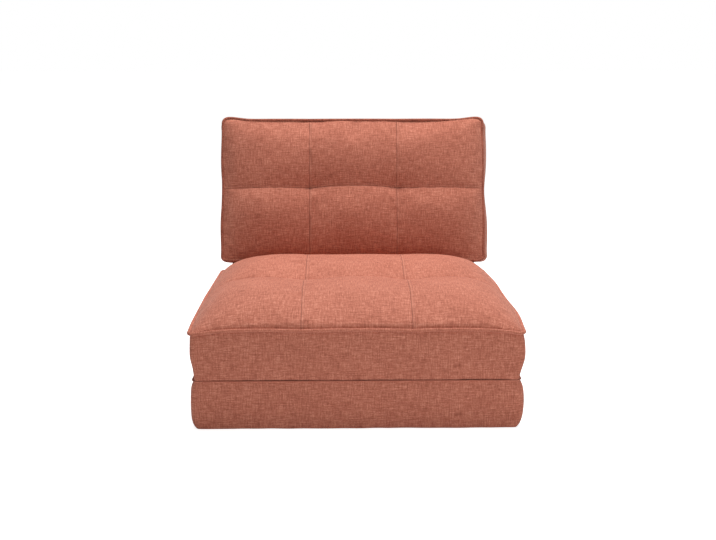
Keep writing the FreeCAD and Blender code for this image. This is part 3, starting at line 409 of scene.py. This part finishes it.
def marks(low, high, seams, step):
    """Grid lines from low to high, close together at both edges and beside each seam."""
    near = [low + o for o in EDGE_OFFSETS] + [high - o for o in EDGE_OFFSETS]
    return spread(sorted([low, high] + near + beside(seams, SEAM_OFFSETS)), step)


def round_inset(radius, distance):
    """How far a rounded corner lies inside its square at each distance along it."""
    reach = np.clip(radius - distance, 0, radius)
    return radius - np.sqrt(np.clip(radius ** 2 - reach ** 2, 0, None))


# Powers that shape the fall into the cross seam and the fields beside the upright seams
FALL_POWER = 3.2
FALL_SQUARENESS = 0.85
FIELD_POWER = 2.2
PEAK_AT = 0.36
ROLL_POWER = 2.1
ROLL_SQUARENESS = 0.62
# Each dimple's middle, in from its upright seam and on from the cross seam, and how blunt its point is
DIMPLE_IN = 0.003
DIMPLE_ON = 0.005
DIMPLE_BLUNTNESS = 0.01
# How far small shapes of the outline reach along the cloth
DROOP_REACH = 0.060
ARCH_REACH = 0.09
EAR_REACH = 0.045
POINT_REACH = 0.020
BULGE_AT_REAR = 0.6
SAG_POWER = 3


def pillow(share, peak, row):
    """Rise along half a cushion: a quarter ellipse to the peak, then a rounded fall into the cross seam."""
    up = peak * np.sqrt(np.clip(1 - (1 - 2 * share) ** 2, 0, 1))
    fall = np.clip(2 * share - 1, 0, 1)
    down = row + (peak - row) * (1 - fall ** FALL_POWER) ** FALL_SQUARENESS
    return np.where(share < 0.5, up, down)


def crown(form, x, y, half):
    """Height of the tufted top: fields that swell between the seams and roll over at the border."""
    seam = form["half"] / 3
    distance = np.minimum(y, form["length"] - y)
    share = 2 * distance / form["length"]
    share = np.where(y < form["length"] / 2, share ** form["low_lean"], share)
    crest = SEAM_RISE + pillow(share, form["crest"], form["cross_crest"])
    ridge = SEAM_RISE + pillow(share, form["seam_crest"], form["tuft"])
    crest = np.maximum(crest, ridge + SEAM_RISE)
    inner = np.clip(np.abs(x) / seam, 0, 1)
    middle = ridge + (crest - ridge) * (1 - inner ** FIELD_POWER)
    outer = np.clip((np.abs(x) - seam) / (half - seam), 0, 1)
    climb = ridge + (crest - ridge) * (1 - (1 - np.clip(outer / PEAK_AT, 0, 1)) ** 2)
    past_peak = np.clip((outer - PEAK_AT) / (1 - PEAK_AT), 0, 1)
    roll = crest * (1 - past_peak ** ROLL_POWER) ** ROLL_SQUARENESS
    side = np.where(outer < PEAK_AT, climb, roll)
    near_tuft = (((np.abs(x) - seam + DIMPLE_IN) / form["dimple_wide"]) ** 2
                 + ((y - form["length"] / 2 - DIMPLE_ON) / form["dimple_long"]) ** 2)
    dimple = form["dimple"] * np.exp(-np.sqrt(near_tuft + DIMPLE_BLUNTNESS))
    return np.where(np.abs(x) < seam, middle, side) - dimple


def flat_top(form, x, y, half):
    """The foot layer's plain top."""
    return 0 * x


def corner_droop(form, x, y):
    """How far the cover hangs at its front corners."""
    from_corner = np.hypot(form["half"] - np.abs(x), y)
    return form["droop"] * np.exp(-(from_corner / DROOP_REACH) ** 2)


def seam_arch(form, x, y):
    """How far the cross seam bows between the two tufts."""
    inner = np.clip(1 - (3 * x / form["half"]) ** 2, 0, 1)
    return form["arch"] * inner * np.exp(-((y - form["length"] / 2) / ARCH_REACH) ** 2)


def side_bulge(form, x, y):
    """How far the side seams stand out between the corners and the drawn-in cross seam."""
    wave = np.sin(2 * np.pi * np.clip(y / form["length"], 0, 1)) ** 2
    nearer = BULGE_AT_REAR + (1 - BULGE_AT_REAR) * (1 - y / form["length"])
    amount = np.where(x > 0, form["bulge_right"], form["bulge_left"])
    rear_in = np.where(x > 0, form["rear_in_right"], form["rear_in_left"])
    return amount * wave * nearer - rear_in * np.clip(2 * y / form["length"] - 1, 0, 1)


def ear(form, x):
    """One at the corners and nothing between them, for the pulled-out points of the cover."""
    return np.exp(-((form["half"] - np.abs(x)) / EAR_REACH) ** 2)


def plan_grid(form, columns, rows):
    """Plan of the top: straight seams, rounded corners and bulging sides."""
    x, y = np.meshgrid(columns, rows)
    distance = np.minimum(y, form["length"] - y)
    half = form["half"] - round_inset(form["corner"], distance) + side_bulge(form, x, y)
    half = half + form["ear"] * np.exp(-(distance / POINT_REACH) ** 2)
    seam = form["half"] / 3
    wide = np.sign(x) * (seam + (np.abs(x) - seam) * (half - seam) / (form["half"] - seam))
    sag = form["top_sag"] * (1 - ear(form, x)) * np.clip(2 * y / form["length"] - 1, 0, 1) ** SAG_POWER
    return np.where(np.abs(x) > seam, wide, x), y - sag, half


def perimeter(rows, columns):
    """Indices of a grid's outline, once round, counterclockwise from its first corner."""
    index = np.arange(rows * columns).reshape(rows, columns)
    return np.concatenate([index[0, :-1], index[:-1, -1], index[-1, :0:-1], index[:0:-1, 0]])


def outward(loop):
    """Unit normals in plan of a closed loop of points."""
    ahead = np.roll(loop, -1, 0) - np.roll(loop, 1, 0)
    normal = np.stack([ahead[:, 1], -ahead[:, 0]], 1)
    return normal / np.linalg.norm(normal, axis=1, keepdims=True)


# The border: how sharply it turns flat at the zip and in at the waist, the cross seam's pull on it,
# the tuck under the welt, and the foot layer's roll at its front and sides
ZIP_POWER = 4
WAIST_POWER = 1.6
PINCH_REACH = 0.05
TUCK = 0.0025
TUCK_REACH = 0.005
TOP_ROLL = (0.002, 0.009)
BASE_ROLL = (0.004, 0.012)
RIM_POWER = 3


def zip_face(form, normal):
    """One on the side of the border that carries the zip, and nothing round the corners."""
    return np.clip(normal[:, 1] * form["zip_side"], 0, 1) ** ZIP_POWER


def border_offset(form, level, normal, y):
    """How far the border stands out from the seam line at a level: drawn in low down, swollen between."""
    share = level / form["height"]
    side = np.abs(normal[:, 0]) ** 2
    low = np.clip(1 - level / form["waist_height"], 0, 1) ** WAIST_POWER
    waist = np.where(normal[:, 0] > 0, form["waist_right"], form["waist_left"])
    pinch = 1 - form["pinch"] * np.exp(-((y - form["length"] / 2) / PINCH_REACH) ** 2)
    side_swell = np.where(normal[:, 0] > 0, form["swell_right"], form["swell_left"])
    swell = side_swell * side * pinch + form["front_swell"] * (1 - side)
    tuck = TUCK * np.exp(-((form["height"] - level) / TUCK_REACH) ** 2)
    under = np.clip(1 - level / form["base_round"], 0, 1)
    hem = tuck + form["base_round"] * (1 - np.sqrt(np.clip(1 - under ** 2, 0, 1)))
    flat = zip_face(form, normal)
    return swell * np.sin(np.pi * share) * (1 - flat) - waist * low * side - hem - ZIP_SINK * flat


def lower_offset(form, level, normal, y):
    """The foot layer's border: rolled in where it meets the seat and the floor."""
    side = np.abs(normal[:, 0]) ** 2
    top = np.clip(1 - (form["height"] - level) / form["top_round"], 0, 1)
    base = np.clip(1 - level / form["base_round"], 0, 1)
    side_swell = np.where(normal[:, 0] > 0, form["swell_right"], form["swell_left"])
    swell = (side_swell * side + form["front_swell"] * (1 - side)) * np.sin(np.pi * level / form["height"])
    roll_top = (TOP_ROLL[0] + TOP_ROLL[1] * side) * (1 - np.sqrt(1 - top ** 2))
    roll_base = (BASE_ROLL[0] + BASE_ROLL[1] * side) * (1 - np.sqrt(1 - base ** 2))
    flat = zip_face(form, normal)
    return swell * (1 - flat) - roll_top - roll_base - ZIP_SINK * flat


def cushion(name, form, top_rise, offset, levels, seams, place, materials, step=0.008):
    """A closed cushion: a top grid, a border of rings down from its outline, and a base grid."""
    columns = marks(-form["half"], form["half"], seams[0], step)
    rows = marks(0, form["length"], seams[1], step)
    nx, ny = len(columns), len(rows)
    x, y, half = plan_grid(form, columns, rows)
    height = form["height"] + top_rise(form, x, y, half) - corner_droop(form, x, y)
    y = y + seam_arch(form, x, y)
    top = np.stack([x, y, height], -1).reshape(-1, 3)
    rim = perimeter(ny, nx)
    loop = top[rim]
    normal = outward(loop[:, :2])
    rings = []
    for level in levels:
        moved = loop.copy()
        moved[:, :2] += normal * offset(form, level, normal, loop[:, 1])[:, None]
        moved[:, 2] = level + (loop[:, 2] - form["height"]) * (level / form["height"]) ** RIM_POWER
        rings.append(moved)
    base_in = offset(form, 0.0, normal, loop[:, 1])
    inset = np.abs(base_in).mean()
    base_x = x * (1 - inset / form["half"])
    base_y = y + (form["length"] / 2 - y) * (2 * inset / form["length"])
    base = np.stack([base_x, base_y, np.zeros_like(x)], -1).reshape(-1, 3)
    edge = loop.copy()
    edge[:, :2] += normal * base_in[:, None]
    edge[:, 2] = 0
    base[rim] = edge
    ring_points = np.concatenate(rings)
    points = np.concatenate([top, ring_points, base])
    count = len(rim)
    top_count = nx * ny
    base_start = top_count + len(ring_points)
    between = [top_count + k * count + np.arange(count) for k in range(len(levels))]
    ids = [rim] + between + [base_start + rim]
    bands = np.stack([np.stack([upper, lower, np.roll(lower, -1), np.roll(upper, -1)], 1)
                      for upper, lower in zip(ids, ids[1:])])
    faces = np.concatenate([grid_faces(ny, nx), bands.reshape(-1, 4),
                            grid_faces(ny, nx, base_start, flip=True)])
    flat_grid = np.stack(np.meshgrid(columns, rows), -1).reshape(-1, 2)
    run = np.concatenate([[0], np.cumsum(np.linalg.norm(np.roll(loop, -1, 0) - loop, axis=1))])
    drops = np.array([form["height"], *levels, 0.0])
    here, there = run[:-1], run[1:]
    band_flat = np.stack([np.stack([
        np.stack([here, np.full(count, a)], 1), np.stack([here, np.full(count, b)], 1),
        np.stack([there, np.full(count, b)], 1), np.stack([there, np.full(count, a)], 1)], 1)
        for a, b in zip(drops, drops[1:])])
    flat = np.concatenate([flat_grid[grid_faces(ny, nx)].reshape(-1, 2), band_flat.reshape(-1, 2),
                           flat_grid[grid_faces(ny, nx, flip=True)].reshape(-1, 2)])
    kinds = np.concatenate([np.zeros((ny - 1) * (nx - 1), int),
                            np.ones(len(faces) - (ny - 1) * (nx - 1), int)])
    piece = mesh_piece(name, points, faces, flat, materials, kinds)
    piece.data.transform(place)
    return piece, (points, top_count, rim, columns, rows)


RING_SHARES = 15
RINGS_UNDER_SEAM = (0.002, 0.005, 0.009)
RINGS_IN_BASE = (0.5, 0.2, 0.05)
RING_GAP = 0.002


def border_levels(form):
    """Ring levels from just under the top seam to just above the base, closer at both."""
    height, round_low = form["height"], form["base_round"]
    share = np.linspace(0, 1, RING_SHARES)[1:-1]
    eased = share - 0.5 * np.sin(2 * np.pi * share) / (2 * np.pi)
    high = [height - under for under in RINGS_UNDER_SEAM]
    low = [round_low * s for s in RINGS_IN_BASE]
    middle = [height * (1 - s) for s in eased if round_low < height * (1 - s) < high[-1] - RING_GAP]
    return high + middle + low


seat_marks = ([-SEAT["half"] / 3, SEAT["half"] / 3], [SEAT["length"] / 2])
back_marks = ([-BACK["half"] / 3, BACK["half"] / 3], [BACK["length"] / 2])
seat_cushion, seat_grid = cushion(
    "seat_cushion", SEAT, crown, border_offset, border_levels(SEAT),
    seat_marks, SEAT_PLACE, [seat_top_linen, plain_linen])
lower_cushion, lower_grid = cushion(
    "lower_cushion", LOWER, flat_top, lower_offset, border_levels(LOWER),
    ([0.0], [LOWER["length"] / 2]), LOWER_PLACE, [plain_linen, plain_linen], step=0.012)
back_cushion, back_grid = cushion(
    "back_cushion", BACK, crown, border_offset, border_levels(BACK),
    back_marks, BACK_PLACE, [back_front_linen, plain_linen])


# Stuffing and the marks of sewing

SIMULATED_FRAMES = 16
FILLING_PRESSURE = 1.0
FILLING_EASE = 0.004
FILLING_LIMIT = 0.004
HELD_NEAR_SEAM = 0.005
HELD_NEAR_TUFT = 0.035


def held_points(form, grid, seams):
    """One where the cover is sewn down or already shaped, and nothing in the middle of each tufted field."""
    points, top_count, rim, columns, rows = grid
    x, y = np.meshgrid(columns, rows)
    free = (form["half"] - np.abs(x) > HELD_NEAR_SEAM) & (np.minimum(y, form["length"] - y) > HELD_NEAR_SEAM)
    for place in seams[0]:
        free &= np.hypot(x - place, y - form["length"] / 2) > HELD_NEAR_TUFT
    for place in seams[1]:
        free &= np.abs(y - place) > HELD_NEAR_SEAM
    held = np.ones(len(points), bool)
    held[:top_count] = ~free.ravel()
    return held


def point_array(piece, kind="vertices", field="co"):
    values = np.zeros(len(getattr(piece.data, kind)) * 3, np.float32)
    getattr(piece.data, kind).foreach_get(field, values)
    return values.reshape(-1, 3).astype(float)


def stuff(piece, held):
    """Fills the cover: a cloth simulation with the sewn points held, each point's travel limited."""
    group = piece.vertex_groups.new(name="sewn")
    group.add(np.flatnonzero(held).tolist(), 1.0, "REPLACE")
    filling = piece.modifiers.new("filling", "CLOTH")
    cloth = filling.settings
    cloth.vertex_group_mass = "sewn"
    cloth.use_pressure = True
    cloth.uniform_pressure_force = FILLING_PRESSURE
    cloth.effector_weights.gravity = 0
    cloth.quality = 6
    cloth.mass = 0.25
    cloth.tension_stiffness = cloth.compression_stiffness = 18
    cloth.shear_stiffness = 8
    cloth.bending_stiffness = 0.4
    cloth.shrink_min = -FILLING_EASE
    filling.collision_settings.use_collision = False
    filling.point_cache.frame_start = 1
    filling.point_cache.frame_end = SIMULATED_FRAMES
    start = point_array(piece)
    for number in range(1, SIMULATED_FRAMES + 1):
        bpy.context.scene.frame_set(number)
    filled = piece.evaluated_get(bpy.context.evaluated_depsgraph_get())
    travel = point_array(filled) - start
    distance = np.linalg.norm(travel, axis=1, keepdims=True)
    travel *= np.minimum(1, FILLING_LIMIT / np.maximum(distance, 1e-9))
    piece.modifiers.remove(filling)
    piece.vertex_groups.remove(group)
    piece.data.vertices.foreach_set("co", (start + travel).astype(np.float32).ravel())
    piece.data.update()
    bpy.context.scene.frame_set(1)


# Small folds and slow sways: pitches and how far they reach from what they run off
WAVE_SINES = 6
WAVE_PITCHES = (0.7, 1.9)
WAVE_HEIGHT = 2.4
SEAM_FOLD_PITCH = 0.026
SEAM_FOLD_REACH = 0.016
WELT_FOLD_PITCH = 0.034
WELT_FOLD_REACH = 0.018
WELT_FOLD_SHARE = 0.5
TOP_EDGE = 0.006
SIDE_SWAY_SHARE = 0.4
CRUMPLE_SHARE = 0.35


def waves(run, pitch, generator):
    """An uneven wave along a run: six sines of nearby pitches with chance phases, about one high."""
    total = np.zeros_like(run)
    for pitch_now in pitch * generator.uniform(*WAVE_PITCHES, WAVE_SINES):
        total += np.sin(2 * np.pi * run / pitch_now + generator.uniform(0, 2 * np.pi))
    return total / WAVE_HEIGHT


def refine(piece):
    """Subdivides once and keeps the result as the piece's own mesh."""
    smooth = piece.modifiers.new("smooth", "SUBSURF")
    smooth.levels = smooth.render_levels = 1
    finer = bpy.data.meshes.new_from_object(piece.evaluated_get(bpy.context.evaluated_depsgraph_get()))
    piece.modifiers.remove(smooth)
    finer.name = piece.name
    piece.data = finer


def sewing_marks(piece, form, place, seed, folds, sway):
    """Small folds that run off the seams and the welt, and a slow sway of every face, along the normals."""
    generator = np.random.RandomState(seed)
    points = point_array(piece)
    normals = point_array(piece, "vertex_normals", "vector")
    back = np.array(place.inverted())
    x, y, z = (points @ back[:3, :3].T + back[:3, 3]).T
    seam = form["half"] / 3
    on_top = np.clip((z - form["height"]) / TOP_EDGE, 0, 1)
    edge = np.minimum(form["half"] - np.abs(x), np.minimum(y, form["length"] - y)).clip(0)
    lift = np.zeros_like(x)
    if "tuft" in form:
        for middle in (-seam, seam):
            near = np.exp(-np.abs(x - middle) / SEAM_FOLD_REACH)
            lift += waves(y, SEAM_FOLD_PITCH, generator) * near
        near = np.exp(-np.abs(y - form["length"] / 2) / SEAM_FOLD_REACH)
        lift += waves(x, SEAM_FOLD_PITCH, generator) * near
    at_welt = waves(x + 1.7 * y, WELT_FOLD_PITCH, generator) * np.exp(-edge / WELT_FOLD_REACH)
    lift += WELT_FOLD_SHARE * at_welt
    slow = waves(x, 0.16, generator) * waves(y + 0.6 * z, 0.14, generator)
    slow = slow + waves(x - y + 2 * z, 0.2, generator)
    crumple = waves(x + 0.4 * z, 0.045, generator) * waves(z, 0.05, generator)
    move = folds * lift * on_top
    move += sway * slow * (SIDE_SWAY_SHARE + (1 - SIDE_SWAY_SHARE) * on_top)
    move += CRUMPLE_SHARE * sway * crumple * (1 - on_top)
    move *= 1 - zip_face(form, normals @ back[:3, :3].T)
    piece.data.vertices.foreach_set("co", (points + normals * move[:, None]).astype(np.float32).ravel())
    piece.data.update()


stuff(seat_cushion, held_points(SEAT, seat_grid, seat_marks))
stuff(back_cushion, held_points(BACK, back_grid, back_marks))
for piece, form, place, seed, folds, sway in (
        (seat_cushion, SEAT, SEAT_PLACE, 11, 0.0004, 0.0007),
        (lower_cushion, LOWER, LOWER_PLACE, 23, 0.0, 0.0006),
        (back_cushion, BACK, BACK_PLACE, 37, 0.0005, 0.0009)):
    refine(piece)
    sewing_marks(piece, form, place, seed, folds, sway)


# Piping

WELT_SIDES = 14
WELT_STEP = 0.003
SEAT_WELT_OUT = 0.0022
BACK_WELT_OUT = 0.0004
WELT_UP = 0.0012


def tube(name, path, radius, sides, place, material):
    """A closed round tube along a loop of points, its rings square to the loop."""
    ahead = np.roll(path, -1, 0) - np.roll(path, 1, 0)
    ahead /= np.linalg.norm(ahead, axis=1, keepdims=True)
    up = np.array([0.0, 0.0, 1.0])
    across = np.cross(ahead, up)
    across /= np.linalg.norm(across, axis=1, keepdims=True)
    above = np.cross(across, ahead)
    angle = np.linspace(0, 2 * np.pi, sides, endpoint=False)
    rings = (path[:, None] + radius * (np.cos(angle)[None, :, None] * across[:, None]
                                       + np.sin(angle)[None, :, None] * above[:, None]))
    count = len(path)
    index = np.arange(count * sides).reshape(count, sides)
    along = np.roll(index, -1, 0)
    faces = np.stack([index, along, np.roll(along, -1, 1), np.roll(index, -1, 1)], -1).reshape(-1, 4)
    run = np.concatenate([[0], np.cumsum(np.linalg.norm(np.roll(path, -1, 0) - path, axis=1))])
    girth = 2 * np.pi * radius * np.arange(sides + 1) / sides
    corner = np.stack([np.stack(np.meshgrid(girth[a], run[b]), -1) for a, b in (
        (slice(0, -1), slice(0, -1)), (slice(0, -1), slice(1, None)),
        (slice(1, None), slice(1, None)), (slice(1, None), slice(0, -1)))], 2)
    piece = mesh_piece(name, rings.reshape(-1, 3), faces, corner.reshape(-1, 2), [material])
    piece.data.transform(place)
    return piece


def welt_path(grid, stand_out):
    """The top seam's loop, evenly divided and standing a little out from it."""
    points, top_count, rim, columns, rows = grid
    loop = points[rim] + [0, 0, WELT_UP]
    loop[:, :2] += outward(loop[:, :2]) * stand_out
    closed = np.vstack([loop, loop[:1]])
    run = np.concatenate([[0], np.cumsum(np.linalg.norm(np.diff(closed, axis=0), axis=1))])
    even = np.linspace(0, run[-1], int(run[-1] / WELT_STEP), endpoint=False)
    return np.stack([np.interp(even, run, closed[:, k]) for k in range(3)], 1)


seat_welt = tube("seat_welt", welt_path(seat_grid, SEAT_WELT_OUT), PIPING_RADIUS, WELT_SIDES,
                 SEAT_PLACE, plain_linen)
back_welt = tube("back_welt", welt_path(back_grid, BACK_WELT_OUT), PIPING_RADIUS, WELT_SIDES,
                 BACK_PLACE, painted_shade_welt_linen)


# What stands for what, and what it rides on

for piece, body, nodes, fill in (
        (seat_cushion, "seat", ("seat_top_panel", "seat_border", "seat_base_panel", "seat_foam"), 0.85),
        (lower_cushion, "foot", ("lower_top_panel", "lower_border", "lower_base_panel", "lower_foam"), 0.9),
        (back_cushion, "back", ("back_front_panel", "back_border", "back_rear_panel", "back_foam"), 0.8)):
    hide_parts(*nodes)
    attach(piece, body)
for piece, body, nodes in (
        (seat_welt, "seat", ("seat_piping", "seat_piping_cord")),
        (back_welt, "back", ("back_piping", "back_piping_cord"))):
    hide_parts(*nodes)
    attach(piece, body)

slots = {node["node"]: node["material_slot"] for node in frame["record"]["subparts"]}
for name, node in frame["nodes"].items():
    node.data.materials.clear()
    node.data.materials.append(SLOT_FINISHES[slots[name]])


# Floor, light and camera

FLOOR_HALF = 30.0
FLOOR_WHITE = (0.8, 0.8, 0.8, 1)
FLOOR_GLOW = 0.80
SURROUND_LIGHT = 0.26
SURROUND_SEEN = 1.0


def seen_or_mirrored(graph):
    """One for what the camera sees, straight or in a shine, and nothing for light on its way to a surface."""
    return graph.calculate("MAXIMUM", graph.node("ShaderNodeLightPath", out="Is Camera Ray"),
                           graph.node("ShaderNodeLightPath", out="Is Glossy Ray"))


def studio_white(name):
    """A white floor whose shadow stays soft, with a little glow for the camera alone."""
    material = bpy.data.materials.new(name)
    material.use_nodes = True
    graph = Graph(material.node_tree)
    diffuse = graph.node("ShaderNodeBsdfDiffuse", None, {"Color": FLOOR_WHITE})
    glow = graph.node("ShaderNodeEmission", None, {"Strength": seen_or_mirrored(graph) * FLOOR_GLOW})
    both = graph.node("ShaderNodeAddShader", None, {0: diffuse, 1: glow})
    graph.node("ShaderNodeOutputMaterial", None, {"Surface": both})
    return material


floor_mesh = bpy.data.meshes.new("floor")
floor_mesh.from_pydata([(-FLOOR_HALF, -FLOOR_HALF, 0), (FLOOR_HALF, -FLOOR_HALF, 0),
                        (FLOOR_HALF, FLOOR_HALF, 0), (-FLOOR_HALF, FLOOR_HALF, 0)], [], [(0, 1, 2, 3)])
floor = bpy.data.objects.new("floor", floor_mesh)
bpy.context.scene.collection.objects.link(floor)
floor.data.materials.append(studio_white("floor_white"))


def soft_lamp(name, place, aim, size, power):
    """A rectangular lamp turned towards a point."""
    lamp = bpy.data.lights.new(name, "AREA")
    lamp.shape = "RECTANGLE"
    lamp.size, lamp.size_y = size
    lamp.energy = power
    holder = bpy.data.objects.new(name, lamp)
    holder.location = place
    holder.rotation_euler = (Vector(aim) - Vector(place)).to_track_quat("-Z", "Y").to_euler()
    bpy.context.scene.collection.objects.link(holder)


soft_lamp("overhead", place=(0.25, 0.42, 2.9), aim=(0.0, 0.0, 0.2), size=(2.0, 1.3), power=103)
soft_lamp("front_fill", place=(0.6, -2.3, 0.36), aim=(0.0, 0.0, 0.1), size=(2.2, 0.6), power=14)

world = bpy.data.worlds.new("studio")
world.use_nodes = True
surround = Graph(world.node_tree)
level = seen_or_mirrored(surround) * (SURROUND_SEEN - SURROUND_LIGHT) + SURROUND_LIGHT
background = surround.node("ShaderNodeBackground", None, {"Color": (1, 1, 1, 1), "Strength": level})
surround.node("ShaderNodeOutputWorld", None, {"Surface": background})
bpy.context.scene.world = world

camera_data = bpy.data.cameras.new("camera")
camera_data.lens = 55.3
camera_data.sensor_width = 36
camera = bpy.data.objects.new("camera", camera_data)
camera.location = (-0.0351, -2.709, 0.863)
camera.rotation_euler = (math.radians(78.265), 0, math.radians(-0.9))
bpy.context.scene.collection.objects.link(camera)
bpy.context.scene.camera = camera
bpy.context.scene.view_settings.view_transform = "Standard"
